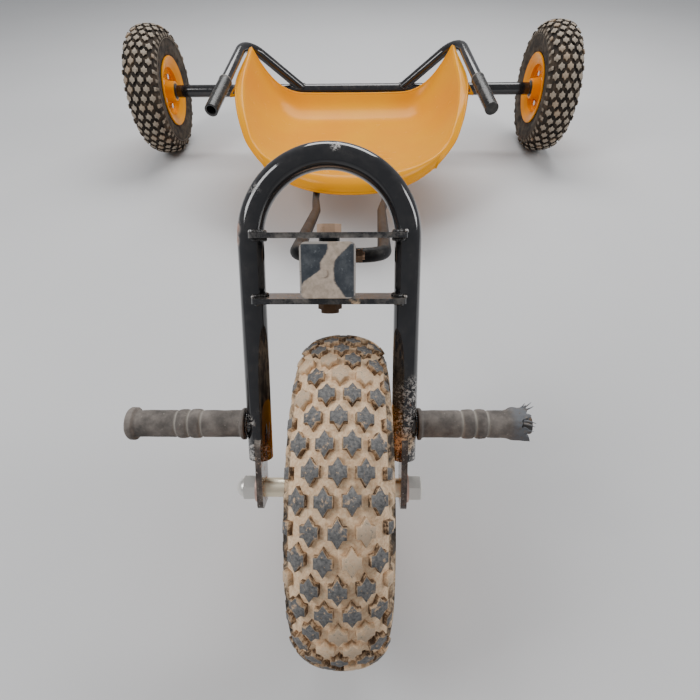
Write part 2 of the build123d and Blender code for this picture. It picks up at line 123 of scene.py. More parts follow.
# The quads of a grid whose points are numbered row by row.
def gridFaces(rows, columns, closeRows=False, closeColumns=False):
    r = np.arange(rows if closeRows else rows - 1)[:, None]
    c = np.arange(columns if closeColumns else columns - 1)[None, :]
    r2, c2 = (r + 1) % rows, (c + 1) % columns
    quads = np.stack([r * columns + c, r * columns + c2, r2 * columns + c2, r2 * columns + c], -1)
    return quads.reshape(-1, 4)


# A mesh from points and arrays of equal-sided faces; layers are values held per point.
def makeMesh(name, points, faceSets, layers=None):
    mesh = bpy.data.meshes.new(name)
    points = np.asarray(points, dtype=np.float32)
    corners = np.concatenate([faces.ravel() for faces in faceSets])
    sides = np.concatenate([np.full(len(faces), faces.shape[1]) for faces in faceSets])
    mesh.vertices.add(len(points))
    mesh.vertices.foreach_set("co", points.ravel())
    mesh.loops.add(len(corners))
    mesh.loops.foreach_set("vertex_index", corners.astype(np.int32))
    mesh.polygons.add(len(sides))
    mesh.polygons.foreach_set("loop_start", (np.cumsum(sides) - sides).astype(np.int32))
    mesh.update(calc_edges=True)
    for layer, values in (layers or {}).items():
        mesh.attributes.new(layer, "FLOAT", "POINT").data.foreach_set(
            "value", np.asarray(values, dtype=np.float32))
    mesh.validate()
    return mesh


# Puts a mesh in the scene and says what it rides on and stands for.
def makePiece(name, mesh, finish, body, stands=(), smooth=True):
    mesh.polygons.foreach_set("use_smooth", [smooth] * len(mesh.polygons))
    piece = bpy.data.objects.new(name, mesh)
    bpy.context.collection.objects.link(piece)
    mesh.materials.append(finish)
    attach(piece, body)
    if stands:
        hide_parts(*stands)
    return piece


# The same faces, all reversed if they enclose a negative volume, so that they look out.
def outward(points, faceSets):
    volume = 0
    for faces in faceSets:
        corners = np.asarray(points)[faces]
        for k in range(1, faces.shape[1] - 1):
            volume += (corners[:, 0] * np.cross(corners[:, k], corners[:, k + 1])).sum()
    return faceSets if volume >= 0 else [faces[:, ::-1] for faces in faceSets]


# Points and face arrays of several closed parts, renumbered into one.
def joinParts(parts):
    points, faceSets, start = [], [], 0
    for partPoints, partFaces in parts:
        points.append(partPoints)
        faceSets += [faces + start for faces in outward(partPoints, partFaces)]
        start += len(partPoints)
    return np.concatenate(points), faceSets


# Two unit vectors square to a path at each point, carried along it without twist.
def frameAlong(path, closed=False):
    path = np.asarray(path, float)
    ahead = np.roll(path, -1, 0) - np.roll(path, 1, 0) if closed else np.gradient(path, axis=0)
    ahead /= np.linalg.norm(ahead, axis=1)[:, None]
    start = np.array([0, 0, 1.0]) if abs(ahead[0][2]) < 0.9 else np.array([1.0, 0, 0])
    sideways = np.empty_like(path)
    for i, a in enumerate(ahead):
        start = start - a * start.dot(a)
        start /= np.linalg.norm(start)
        sideways[i] = start
    return ahead, sideways, np.cross(ahead, sideways)


# A round section carried along a path; radius is one number or one for each point.
def tubeParts(path, radius, sides=14, closed=False):
    ahead, u, v = frameAlong(path, closed)
    radius = np.broadcast_to(radius, len(path))[:, None, None]
    turn = np.linspace(0, tau, sides, endpoint=False)[None, :, None]
    rings = np.asarray(path)[:, None, :] + radius * (u[:, None] * np.cos(turn) + v[:, None] * np.sin(turn))
    points = rings.reshape(-1, 3)
    faces = [gridFaces(len(path), sides, closed, True)]
    if not closed:
        last = (len(path) - 1) * sides
        faces.append(np.arange(sides)[::-1][None, :])
        faces.append(np.arange(last, last + sides)[None, :])
    return points, faces


# A profile of (along, radius) turned about an axis through a point; ends on the axis close.
def turnedParts(profile, at, axis, sides=48, wobble=None):
    axis = np.asarray(axis, float) / np.linalg.norm(axis)
    u = np.cross(axis, [0, 0, 1.0] if abs(axis[2]) < 0.9 else [1.0, 0, 0])
    u /= np.linalg.norm(u)
    v = np.cross(axis, u)
    profile = np.asarray(profile, float)
    turn = np.linspace(0, tau, sides, endpoint=False)[None, :]
    along, radius = profile[:, :1] + 0 * turn, np.maximum(profile[:, 1:], 1e-5) + 0 * turn
    if wobble is not None:
        along, radius = wobble(along, radius, turn + 0 * along)
    rings = (np.asarray(at) + along[..., None] * axis
             + radius[..., None] * (u * np.cos(turn)[..., None] + v * np.sin(turn)[..., None]))
    closed = np.allclose(profile[0], profile[-1])
    rings = rings[:-1] if closed else rings
    faces = [gridFaces(len(rings), sides, closed, True)]
    if not closed:
        last = (len(rings) - 1) * sides
        faces += [np.arange(sides)[::-1][None, :], np.arange(last, last + sides)[None, :]]
    return rings.reshape(-1, 3), faces


# A polyline whose corners are replaced by short curves (quadratic, corner as control).
def rounded(points, radius, steps=4):
    points = np.asarray(points, float)
    out = [points[0]]
    for before, corner, after in zip(points, points[1:-1], points[2:]):
        lengthIn, lengthOut = np.linalg.norm(before - corner), np.linalg.norm(after - corner)
        cut = min(radius, lengthIn * 0.45, lengthOut * 0.45)
        a, b = corner + (before - corner) * cut / lengthIn, corner + (after - corner) * cut / lengthOut
        t = np.linspace(0, 1, steps + 1)[:, None]
        out += list(a * (1 - t) ** 2 + corner * 2 * t * (1 - t) + b * t * t)
    out.append(points[-1])
    return np.array(out)


# Shader expressions

# A socket that can be added, multiplied and so on; each sign adds a Math node.
class Val:
    def __init__(self, finish, socket):
        self.finish, self.socket = finish, socket

    def math(self, operation, *values):
        return self.finish.node("ShaderNodeMath", {"operation": operation}, dict(enumerate(values)))

    def __add__(self, other): return self.math("ADD", self, other)
    def __radd__(self, other): return self.math("ADD", other, self)
    def __sub__(self, other): return self.math("SUBTRACT", self, other)
    def __rsub__(self, other): return self.math("SUBTRACT", other, self)
    def __mul__(self, other): return self.math("MULTIPLY", self, other)
    def __rmul__(self, other): return self.math("MULTIPLY", other, self)
    def most(self, other): return self.math("MAXIMUM", self, other)
    def least(self, other): return self.math("MINIMUM", self, other)
    def size(self): return self.math("ABSOLUTE", self)

    # 0 below low and 1 above high; low may be the larger, which turns it round.
    def step(self, low, high):
        return self.finish.node("ShaderNodeMapRange", {"interpolation_type": "SMOOTHSTEP"},
                                {"Value": self, "From Min": low, "From Max": high})


# One material: node() adds any node, and the shader's own sockets take the rest.
class Finish:
    def __init__(self, name, **constants):
        self.material = bpy.data.materials.new(name)
        self.material.use_nodes = True
        self.tree = self.material.node_tree
        self.shader = self.tree.nodes["Principled BSDF"]
        for socket, value in constants.items():
            self.shader.inputs[socket.replace("_", " ")].default_value = value
        self.place = self.node("ShaderNodeTexCoord", {}, {}, "Object")

    def node(self, kind, settings, inputs, out=0):
        node = self.tree.nodes.new(kind)
        for setting, value in settings.items():
            setattr(node, setting, value)
        for socket, value in inputs.items():
            self.feed(node.inputs[socket], value)
        return Val(self, node.outputs[out])

    def feed(self, socket, value):
        if isinstance(value, Val):
            self.tree.links.new(value.socket, socket)
        elif isinstance(value, tuple) and len(value) == 3 and socket.type == "RGBA":
            socket.default_value = (*value, 1)
        else:
            socket.default_value = value

    def noise(self, scale, detail=3.0, rough=0.5, seed=0.0):
        return self.node("ShaderNodeTexNoise", {"noise_dimensions": "4D"},
                         {"Vector": self.place, "W": seed, "Scale": scale,
                          "Detail": detail, "Roughness": rough}, "Fac")

    # first where the mask is 0, second where it is 1.
    def blend(self, mask, first, second):
        return self.node("ShaderNodeMix", {"data_type": "RGBA"}, {0: mask, 6: first, 7: second}, 2)

    # 1 within reach of a place, fading to 0.
    def near(self, point, reach, soft=0.5):
        gap = self.node("ShaderNodeVectorMath", {"operation": "DISTANCE"},
                        {0: self.place, 1: tuple(float(v) for v in point)}, "Value")
        return gap.step(reach, reach * soft)

    def part(self, axis):
        return self.node("ShaderNodeSeparateXYZ", {}, {0: self.place}, axis)

    # How far a place lies from start along a direction.
    def along(self, direction, start):
        reach = self.node("ShaderNodeVectorMath", {"operation": "DOT_PRODUCT"},
                          {0: self.place, 1: tuple(float(v) for v in direction)}, "Value")
        return reach - float(np.dot(direction, start))

    def facing(self, axis):
        normal = self.node("ShaderNodeNewGeometry", {}, {}, "Normal")
        return self.node("ShaderNodeSeparateXYZ", {}, {0: normal}, axis)

    def layer(self, name):
        return self.node("ShaderNodeAttribute", {"attribute_name": name}, {}, "Fac")

    def bump(self, height, strength, distance):
        return self.node("ShaderNodeBump", {}, {"Strength": strength, "Distance": distance,
                                                "Height": height})

    def set(self, **sockets):
        for socket, value in sockets.items():
            self.feed(self.shader.inputs[socket.replace("_", " ")], value)
        return self.material


# Finishes
mudTan, mudPale, mudDark = (0.74, 0.49, 0.29), (0.95, 0.72, 0.48), (0.36, 0.22, 0.12)
dustGrey = (0.42, 0.38, 0.33)


# Gloss paint on steel: small chips to pale primer and rust, dust lying on what faces up. places are
# (point, reach, kind) patches of rust, scuffed metal or dried mud.
def paintFinish(name, colour=(0.009, 0.009, 0.011), chips=0.35, dust=0.16, mud=0.0, places=(),
                gloss=0.12, coat=0.5, shine=0.5):
    f = Finish(name, Coat_Roughness=0.05, Specular_IOR_Level=shine)
    fine = f.noise(420, 5, 0.65)
    broad = f.noise(34, 3, 0.6, seed=3)
    chip = fine.step(0.70 - 0.06 * chips, 0.73 - 0.06 * chips) * broad.step(0.62 - 0.25 * chips, 0.72)
    rusty = f.noise(160, 4, 0.6, seed=7)
    rust = rusty.step(0.58, 0.70)
    lying = f.facing(2).step(0.1, 0.95)
    dusty = (f.noise(90, 5, 0.7, seed=5).step(0.40, 0.85) * (0.2 + 0.8 * lying)) * dust
    muddy = f.noise(55, 5, 0.65, seed=9).step(0.72 - 0.35 * mud, 0.80 - 0.30 * mud) * min(mud * 4, 1)
    speckle = f.noise(380, 5, 0.8, seed=11) if places else None
    for point, reach, kind in places:
        close = f.near(point, reach, 0.3)
        if kind == "mud":
            muddy = muddy.most(close * speckle.step(0.44, 0.52))
        elif kind == "rust":
            chip = chip.most(close * speckle.step(0.40, 0.50))
            rust = rust.most(close)
        else:
            chip = chip.most(close * speckle.step(0.49, 0.57))
    bare = f.blend(rust, (0.56, 0.53, 0.49), f.blend(fine.step(0.4, 0.6), (0.24, 0.09, 0.04),
                                                     (0.55, 0.30, 0.22)))
    tan = f.blend(f.noise(210, 4, 0.6).step(0.3, 0.7), mudTan, mudPale)
    colours = f.blend(dusty, colour, dustGrey)
    colours = f.blend(chip, colours, bare)
    colours = f.blend(muddy, colours, tan)
    rough = gloss + 0.5 * dusty + 0.5 * chip + 0.65 * muddy
    height = muddy * 0.6 - chip * 0.4 + 0.05 * f.noise(60, 2)
    return f.set(Base_Color=colours, Roughness=rough.least(0.95),
                 Coat_Weight=coat - coat * muddy.most(chip) if coat else 0.0,
                 Normal=f.bump(height, 0.45, 0.0006))


# The steering head: blue-black paint, worn pale along its edges, with a smear of dried mud that
# runs down the front face and spreads at the foot. across is x; rise is up the axis.
def headFinish():
    f = Finish("headPaint", Coat_Weight=0.2, Coat_Roughness=0.15)
    middle = steerPoint(0, 0.184)
    ripple = f.noise(120, 5, 0.7, seed=2) - 0.5
    across, rise = f.part(0) - float(middle[0]) + 0.006 * ripple, f.along(steerUp, middle)
    front = f.along(steerBack, middle).step(-0.0195, -0.0225)
    bend = rise * rise * 24.0
    leftSide = across + 0.0055 + 0.013 * rise.step(0.002, -0.010) - 0.006 * rise.step(0.004, 0.016)
    rightSide = 0.0045 + bend - across + 0.004 * rise.step(0.006, 0.018)
    smear = leftSide.step(-0.0006, 0.0012) * rightSide.step(-0.0006, 0.0012) * front
    smear = smear * (0.70 + 0.6 * f.noise(320, 4, 0.7)).step(0.72, 0.92)
    corner = (across - 0.006 * ripple).size().most((rise + 0.0004).size())
    worn = corner.step(0.0184, 0.0192) * f.noise(260, 4, 0.7, seed=4).step(0.34, 0.46)
    tan = f.blend(f.noise(260, 4, 0.6).step(0.3, 0.7), (0.40, 0.32, 0.25), (0.60, 0.49, 0.39))
    film = f.noise(90, 5, 0.7, seed=6).step(0.35, 0.80) * 0.5
    scratch = f.noise(500, 5, 0.8, seed=8).step(0.58, 0.66)
    colours = f.blend(film, (0.030, 0.037, 0.047), (0.20, 0.21, 0.22))
    colours = f.blend(scratch * 0.5, colours, (0.34, 0.36, 0.38))
    colours = f.blend(worn * 0.8, colours, (0.52, 0.47, 0.42))
    colours = f.blend(smear, colours, tan)
    rough = (0.28 + 0.5 * film + 0.5 * smear + 0.3 * worn).least(0.9)
    height = smear + 0.3 * f.noise(300, 4)
    return f.set(Base_Color=colours, Roughness=rough, Normal=f.bump(height, 0.4, 0.0005))


# Plated steel with a brushed grain, dull spots and stain in places.
def metalFinish(name, colour, rough=0.3, stain=(0.20, 0.12, 0.06), wear=0.4):
    f = Finish(name, Metallic=0.9)
    grain = f.noise(900, 2, 0.5)
    old = f.noise(130, 5, 0.65, seed=2).step(0.62 - 0.2 * wear, 0.80)
    colours = f.blend(old * wear * 1.4, colour, stain)
    return f.set(Base_Color=colours, Roughness=rough + 0.12 * grain + 0.4 * old * wear,
                 Metallic=0.9 - 0.6 * old * wear, Normal=f.bump(grain, 0.12, 0.0002))


# Worn rubber: fine grain, scuffs and a film of dust.
def rubberFinish(name, colour, dusty=0.4, grain=700, rough=0.55):
    f = Finish(name, Specular_IOR_Level=0.35)
    fine, broad = f.noise(grain, 4, 0.6), f.noise(75, 5, 0.65, seed=4)
    film = broad.step(0.35, 0.75) * dusty
    scuff = f.noise(330, 5, 0.7, seed=6).step(0.60, 0.72) * dusty
    colours = f.blend(scuff, f.blend(film, colour, dustGrey), (0.33, 0.28, 0.23))
    return f.set(Base_Color=colours, Roughness=rough + 0.3 * film,
                 Normal=f.bump(fine + broad, 0.35, 0.0005))


# Glossy moulded plastic: a faint orange peel, slightly deeper in places, dull where dusty.
def plasticFinish(name, colour, deep, rough=0.24, dirt=0.3):
    f = Finish(name, Coat_Weight=0.02, Coat_Roughness=0.1, Specular_IOR_Level=0.12)
    tone = f.noise(9, 2, 0.5)
    grime = f.noise(60, 6, 0.7, seed=8).step(0.56, 0.80) * dirt
    scratch = f.noise(260, 4, 0.8, seed=1).step(0.64, 0.74) * dirt * 0.5
    colours = f.blend(grime, f.blend(tone.step(0.3, 0.7), colour, deep), (0.42, 0.27, 0.10))
    return f.set(Base_Color=colours, Roughness=rough + 0.35 * grime + 0.3 * scratch,
                 Normal=f.bump(f.noise(520, 2, 0.5), 0.06, 0.0003))


# Tread rubber. The lug layer is 1 on a lug's top, 0 in the grooves and between on its sides; cake
# is how far mud covers that lug. muddy leaves tan mud in the grooves and paints shade, a dark brown,
# on the lugs' sides; else the grooves are dark.
def tyreFinish(name, muddy):
    f = Finish(name, Specular_IOR_Level=0.25)
    lug, cake, wall = f.layer("lug"), f.layer("cake"), f.layer("wall")
    fine, broad = f.noise(520, 5, 0.65), f.noise(70, 4, 0.6, seed=2)
    clump = f.noise(240, 4, 0.7, seed=5)
    mud = f.blend(fine.step(0.35, 0.65), mudPale, mudTan)
    mud = f.blend(clump.step(0.60, 0.74) * 0.8, mud, mudDark)
    dark = f.blend(broad.step(0.4, 0.7), (0.028, 0.023, 0.019), (0.085, 0.062, 0.043))
    flank = lug.step(0.06, 0.22) * (1 - lug.step(0.86, 0.97))
    crest = lug.step(0.88, 0.98)
    if muddy:
        top = f.blend(fine.step(0.30, 0.72), (0.080, 0.081, 0.083), (0.230, 0.222, 0.212))
        top = f.blend(clump.step(0.56, 0.66) * 0.7, top, mudTan)
        # Painted shade: a dark brown laid on the lugs' sides in place of their shadow, its strength varied by
        # noise.
        shade = f.blend(broad.step(0.35, 0.65), (0.060, 0.038, 0.024), (0.22, 0.135, 0.075))
        tread = f.blend(flank * (0.35 + 0.75 * clump.step(0.60, 0.42)), mud, shade)
        tread = f.blend(crest, tread, top)
        tread = f.blend(cake * fine.step(0.22, 0.5), tread, mud)
        side = f.blend(f.noise(45, 5, 0.7, seed=6).step(0.42, 0.60) * 0.85, dark, mud)
    else:
        pale = f.blend(fine.step(0.3, 0.7), (0.25, 0.205, 0.155), (0.42, 0.36, 0.29))
        tread = f.blend(crest * clump.step(0.72, 0.55), dark, pale)
        tread = f.blend(cake * 0.6, tread, (0.36, 0.25, 0.16))
        side = f.blend(f.noise(45, 5, 0.7, seed=6).step(0.40, 0.75) * 0.6, dark, (0.16, 0.13, 0.10))
        side = f.blend(lug.step(0.5, 0.9) * 0.6, side, pale)
    colours = f.blend(wall, tread, side)
    return f.set(Base_Color=colours, Roughness=0.72 + 0.2 * fine,
                 Normal=f.bump(fine + 0.6 * broad, 0.55, 0.0009))


# Old grip rubber, greyed by dust; the torn layer is 1 where it is ripped to dark shreds.
def pegFinish():
    f = Finish("pegRubber", Specular_IOR_Level=0.3)
    fine, broad = f.noise(420, 5, 0.65), f.noise(60, 5, 0.65, seed=4)
    colours = f.blend(broad.step(0.3, 0.75), (0.085, 0.075, 0.068), (0.25, 0.22, 0.195))
    colours = f.blend(fine.step(0.60, 0.72) * 0.6, colours, (0.40, 0.36, 0.31))
    colours = f.blend(f.layer("groove"), colours, (0.36, 0.33, 0.29))
    shreds = f.layer("torn") * f.noise(300, 4, 0.7, seed=1).step(0.35, 0.5)
    colours = f.blend(shreds, colours, (0.13, 0.135, 0.145))
    return f.set(Base_Color=colours, Roughness=0.7 + 0.2 * fine,
                 Normal=f.bump(fine + broad, 0.5, 0.0007))


seatYellow, seatDeep = (0.86, 0.36, 0.0), (0.84, 0.31, 0.0)
rimYellow, rimDeep = (0.96, 0.37, 0.0), (0.86, 0.27, 0.0)
forkPatches = [(steerPoint(-0.0695, 0.214, -0.003), 0.0085, "rust"),
               (steerPoint(-0.0690, 0.205, -0.003), 0.0065, "rust"),
               (steerPoint(0.006, 0.270, -0.008), 0.0055, "chip"),
               (steerPoint(-0.052, 0.240, -0.004), 0.008, "chip"),
               (steerPoint(0.066, 0.085, -0.005), 0.020, "chip"),
               (steerPoint(0.066, 0.060, -0.006), 0.026, "chip"),
               (steerPoint(0.062, 0.036, -0.006), 0.024, "chip"),
               (steerPoint(-0.062, 0.036, -0.006), 0.014, "chip"),
               (steerPoint(-0.066, 0.062, -0.006), 0.008, "chip"),
               (steerPoint(0.060, 0.045, -0.007), 0.012, "mud")]
finishes = {
    "black_paint": paintFinish("blackPaint"),
    "fork": paintFinish("forkPaint", chips=0.42, dust=0.10, places=forkPatches, gloss=0.08),
    "rail": paintFinish("railPaint", (0.012, 0.012, 0.013), 0.6, 0.3, gloss=0.5, coat=0, shine=0.14),
    "plate": paintFinish("platePaint", chips=0.6, dust=1.0, mud=0.3, gloss=0.25),
    "head_paint": headFinish(),
    "chipped_paint": paintFinish("chippedPaint", (0.05, 0.040, 0.034), chips=1.5, dust=1.0, mud=0.35,
                                 places=[(hubs["front"] + across * x, 0.013, "rust")
                                         for x in (-0.07, 0.05)]),
    "zinc": metalFinish("zincPlate", (0.80, 0.78, 0.73), wear=0.25),
    "dark_steel": metalFinish("darkSteel", (0.10, 0.10, 0.10), 0.45, wear=0.8),
    "rosy": metalFinish("rosyWasher", (0.74, 0.52, 0.44), 0.42, wear=0.3),
    "rust": metalFinish("rustyNut", (0.16, 0.095, 0.055), 0.62, (0.06, 0.03, 0.02), 0.9),
    "yellow_zinc": metalFinish("yellowZinc", (0.72, 0.56, 0.38), 0.38, wear=0.5),
    "brass": metalFinish("dullBrass", (0.66, 0.44, 0.30), 0.34, wear=0.5),
    "spacer": metalFinish("spacerZinc", (0.86, 0.80, 0.62), 0.34, wear=0.25),
    "bearing_steel": rubberFinish("bearingSeal", (0.015, 0.015, 0.015), 0.25, 500, 0.45),
    "nylon": rubberFinish("nylon", (0.75, 0.74, 0.70), 0.2),
    "black_plastic": rubberFinish("blackPlastic", (0.012, 0.012, 0.012), 0.10, 500, 0.3),
    "handle_rubber": rubberFinish("handleRubber", (0.013, 0.013, 0.013), 0.12, 600, 0.26),
    "peg_rubber": pegFinish(),
    "inner_rubber": rubberFinish("innerRubber", (0.02, 0.02, 0.02), 0.2),
    "yellow_rim": plasticFinish("rimPlastic", rimYellow, rimDeep, 0.3, 0.4),
    "yellow_seat": plasticFinish("seatPlastic", seatYellow, seatDeep, 0.27, 0.06),
    "front_tread": tyreFinish("frontTread", True),
    "rear_tread": tyreFinish("rearTread", False),
    "weld": metalFinish("weldBead", (0.42, 0.41, 0.40), 0.38, wear=1.0),
    "collar": rubberFinish("collarRubber", (0.16, 0.15, 0.14), 0.4),
    "dark_weld": paintFinish("paintedWeld", chips=0.9, dust=0.6, gloss=0.2),
}
finishes["tyre_rubber"] = finishes["rear_tread"]
print("finishes made")

slotOf = {entry["node"]: entry["material_slot"] for entry in frame["record"]["subparts"]}
special = {"fork_tube": "fork", "upper_fork_plate": "plate", "lower_fork_plate": "plate",
           "front_spacer_left": "spacer", "front_spacer_right": "spacer", "main_rail": "rail",
           "steering_nut": "rust", "steering_bolt": "brass", "head_cross_bolt": "brass",
           "front_washers": "rosy", "rear_washers": "dark_steel",
           "peg_bar_left": "fork", "peg_bar_right": "dark_steel"}
for nodeName, nodeObject in frame["nodes"].items():
    finish = finishes[special.get(nodeName, slotOf[nodeName])]
    if not nodeObject.material_slots:
        nodeObject.data.materials.append(finish)
    for slot in nodeObject.material_slots:
        slot.material = finish

# Tyres
tyre = {"crown": 0.1258, "rows": 46, "pitchAcross": 0.0163, "starHalf": (0.0054, 0.0086),
        "armHalf": 0.0036, "neckHalf": 0.0030, "height": 0.0042, "sink": 0.0012,
        "edgeAt": 0.0322, "edgeHalf": (0.0025, 0.0040), "seam": 0.0005, "around": 276,
        "rib": (0.0345, 0.0365, 0.0425, 0.0445), "ribHeight": 0.0022,
        "ring": 0.0455, "ringHalf": 0.0009, "ringHeight": 0.0024, "wallLine": 0.0690}


# Half the section from the crown to the bead, walked in 0.5 mm steps: the heading turns slowly over
# the crown, fast round the shoulder, then evenly down the wall.
def tyreProfile():
    bends = [(0.020, 1 / 0.055), (0.020, 1 / 0.021), (0.020, 1 / 0.05), (0.018, 1 / 0.07),
             (0.012, 1 / 0.011)]
    step = 0.0005
    curvature = np.concatenate([np.full(round(length / step), bend) for length, bend in bends])
    heading = np.concatenate([[0], np.cumsum(curvature * step)])
    x = np.concatenate([[0], np.cumsum(np.cos(heading[:-1]) * step)])
    r = tyre["crown"] - np.concatenate([[0], np.cumsum(np.sin(heading[:-1]) * step)])
    keep = r > 0.056
    return np.arange(len(x))[keep] * step, x[keep], r[keep], heading[keep]


profileS, profileX, profileR, profileTurn = tyreProfile()


# A point s across the tread from its middle, at an angle round the axle, height above.
def tyrePlace(s, angle, height, hub):
    size = np.abs(s)
    turn = np.interp(size, profileS, profileTurn)
    x = np.interp(size, profileS, profileX) + height * np.sin(turn)
    r = np.interp(size, profileS, profileR) + height * np.cos(turn)
    x = x * np.where(s < 0, -1, 1)
    return np.stack([hub[0] + x, hub[1] + r * np.sin(angle), hub[2] + r * np.cos(angle)], -1)


# Lugs of one outline at many centres: a sunken foot, a flared side, a bevel and a domed top.
def lugParts(outline, centreS, centreAngle, rise, hub):
    outline = np.asarray(outline)
    count, corners = len(centreS), len(outline)
    rings = [(1.10, -tyre["sink"]), (1.02, 0.90), (0.95, 1.0)]
    rows = []
    for spread, level in rings:
        height = np.where(level < 0, level, level * rise)[:, None] + np.zeros((1, corners))
        s = centreS[:, None] + outline[None, :, 0] * spread
        angle = centreAngle[:, None] + outline[None, :, 1] * spread / tyre["crown"]
        rows.append(tyrePlace(s, angle, height, hub))
    ringPoints = np.stack(rows, 1).reshape(count, -1, 3)
    top = tyrePlace(centreS, centreAngle, rise * 1.04, hub)[:, None]
    foot = tyrePlace(centreS, centreAngle, 0 * rise - tyre["sink"], hub)[:, None]
    points = np.concatenate([ringPoints, top, foot], 1)
    each = points.shape[1]
    starts = (np.arange(count) * each)[:, None, None]
    sides = gridFaces(3, corners, False, True)[None] + starts
    rim = np.arange(corners)
    topFan = np.stack([rim + 2 * corners, (rim + 1) % corners + 2 * corners, 0 * rim + 3 * corners], -1)
    footFan = np.stack([(rim + 1) % corners, rim, 0 * rim + 3 * corners + 1], -1)
    faces = [sides.reshape(-1, 4), (topFan[None] + starts).reshape(-1, 3),
             (footFan[None] + starts).reshape(-1, 3)]
    level = np.concatenate([np.zeros(corners), np.full(corners, 0.84), np.ones(corners), [1, 0]])
    return points.reshape(-1, 3), faces, np.tile(level, count), each


# Carcass, star lugs in staggered rows, edge blocks, shoulder ribs and a moulded ring.
def makeTyre(side, finish, seed):
    hub, rng = hubs[side], np.random.default_rng(seed)
    s = np.concatenate([-profileS[::-3], profileS[1::3]])
    s = np.unique(np.round(np.concatenate([s, [-0.0009, 0.0009]]), 5))
    angles = np.linspace(0, tau, tyre["around"], endpoint=False)
    sGrid, aGrid = np.meshgrid(s, angles, indexing="ij")
    height = -tyre["seam"] * np.exp(-(sGrid / 0.0006) ** 2)
    lumps = sum(np.sin(sGrid * rng.uniform(200, 900) + aGrid * rng.integers(9, 70) + rng.uniform(0, tau))
                for _ in range(9)) / 9
    height = height + 0.0006 * lumps * smoothStep(-np.abs(sGrid), -0.036, -0.030)
    size = np.abs(sGrid)
    rows = tyre["rows"]
    ribWave = 0.5 + 0.5 * np.cos(aGrid * rows)
    low, lowFull, highFull, high = tyre["rib"]
    ribs = smoothStep(size, low, lowFull) * smoothStep(-size, -high, -highFull)
    ribs = ribs * smoothStep(ribWave, 0.40, 0.62)
    ring = np.exp(-((size - tyre["ring"]) / tyre["ringHalf"]) ** 2)
    height = height + tyre["ribHeight"] * ribs + tyre["ringHeight"] * ring
    height = height - 0.0006 * np.exp(-((size - tyre["wallLine"]) / 0.0012) ** 2)
    skin = tyrePlace(sGrid, aGrid, height, hub).reshape(-1, 3)
    lug = 0.9 * ribs + ring
    wall = smoothStep(size, 0.0345, 0.0375)
    parts, layers = [], {"lug": [lug.ravel()], "cake": [np.zeros(lug.size)], "wall": [wall.ravel()]}
    faces = [gridFaces(len(s), tyre["around"], True, True)]    # the last row closes the bead
    parts.append((skin, faces))
    half, arm, neck = tyre["starHalf"], tyre["armHalf"], tyre["neckHalf"]
    quarter = [(0, half[1]), (neck, arm), (half[0], arm * 0.96)]
    star = quarter + [(x, -y) for x, y in quarter[::-1][:-1]] + [(0, -half[1])]
    star += [(-x, -y) for x, y in quarter[1:]] + [(-x, y) for x, y in quarter[::-1][:-1]]
    star = np.array(star)[::-1]
    edge = np.array([(-1, -1), (1, -1), (1, 1), (-1, 1)]) * tyre["edgeHalf"]
    for outline, columns, odd in ((star, (-1.5, -0.5, 0.5, 1.5), 0), (star, (-1, 0, 1), 1),
                                  (edge, (-1, 1), 1)):
        columns = np.array(columns, float)
        columns = columns * (tyre["edgeAt"] if outline is edge else tyre["pitchAcross"])
        turns = (np.arange(rows // 2) * 2 + odd) * tau / rows
        centreS, centreAngle = [v.ravel() for v in np.meshgrid(columns, turns)]
        centreAngle = centreAngle + rng.normal(0, 0.0025, len(centreAngle))
        rise = tyre["height"] * rng.uniform(0.86, 1.0, len(centreS))
        points, lugFaces, level, each = lugParts(outline, centreS, centreAngle, rise, hub)
        caked = np.where(rng.random(len(centreS)) < 0.16, rng.uniform(0.5, 1, len(centreS)), 0)
        parts.append((points, lugFaces))
        layers["lug"].append(level)
        layers["cake"].append(np.repeat(caked, each))
        layers["wall"].append(np.zeros(len(points)))
    points, faceSets = joinParts(parts)
    mesh = makeMesh(side + "Tyre", points, faceSets, {k: np.concatenate(v) for k, v in layers.items()})
    return makePiece(side + "Tyre", mesh, finish, side + "_wheel", [side + "_tyre"])


for side, finish, seed in (("front", "front_tread", 3), ("left", "rear_tread", 5),
                           ("right", "rear_tread", 8)):
    piece = makeTyre(side, finishes[finish], seed)
    print("tyre", side, len(piece.data.polygons), "faces")

# Seat
# Stations from the front lip to the rear rim: the middle (y, z), the wing edge (x, y, z) and the
# outer edge of the rolled flange (x, y, z), in millimetres.
seat = {"stations": [((61, 104), (150, 137, 114), (152, 137, 112)),
                     ((62, 116), (153, 140, 122), (156, 140, 119)),
                     ((76, 126), (160, 148, 129), (165, 148, 126)),
                     ((110, 122), (176, 174, 143), (184, 173, 139)),
                     ((170, 113), (190, 212, 161), (201, 211, 156)),
                     ((250, 104), (203, 272, 182), (217, 271, 180)),
                     ((340, 101), (211, 350, 202), (226, 350, 198)),
                     ((398, 108), (209, 405, 217), (219, 405, 212)),
                     ((424, 122), (208, 428, 224), (214, 428, 220)),
                     ((438, 139), (206, 439, 229), (211, 440, 226))],
        "thick": 0.004, "bead": 0.0026, "rows": 90, "columns": 60, "roll": 5,
        "bosses": [(0.130, 0.1165), (0.350, 0.0975)], "bossHalf": 0.035, "bossRadius": 0.008}


# Rows blended between knots: a cubic through each knot, with the slope there taken from its
# neighbours, spaced by the distance between knots.
def smoothRows(knots, count):
    knots = np.asarray(knots, float)
    along = np.concatenate([[0], np.cumsum(np.linalg.norm(np.diff(knots[:, :2], axis=0), axis=1))])
    slopes = np.gradient(knots, along, axis=0)
    at = np.linspace(0, along[-1], count)
    left = np.clip(np.searchsorted(along, at, side="right") - 1, 0, len(knots) - 2)
    gap = (along[left + 1] - along[left])[:, None]
    t = ((at - along[left]) / gap[:, 0])[:, None]
    return (knots[left] * (1 + 2 * t) * (1 - t) ** 2 + slopes[left] * gap * t * (1 - t) ** 2
            + knots[left + 1] * t * t * (3 - 2 * t) + slopes[left + 1] * gap * t * t * (t - 1))


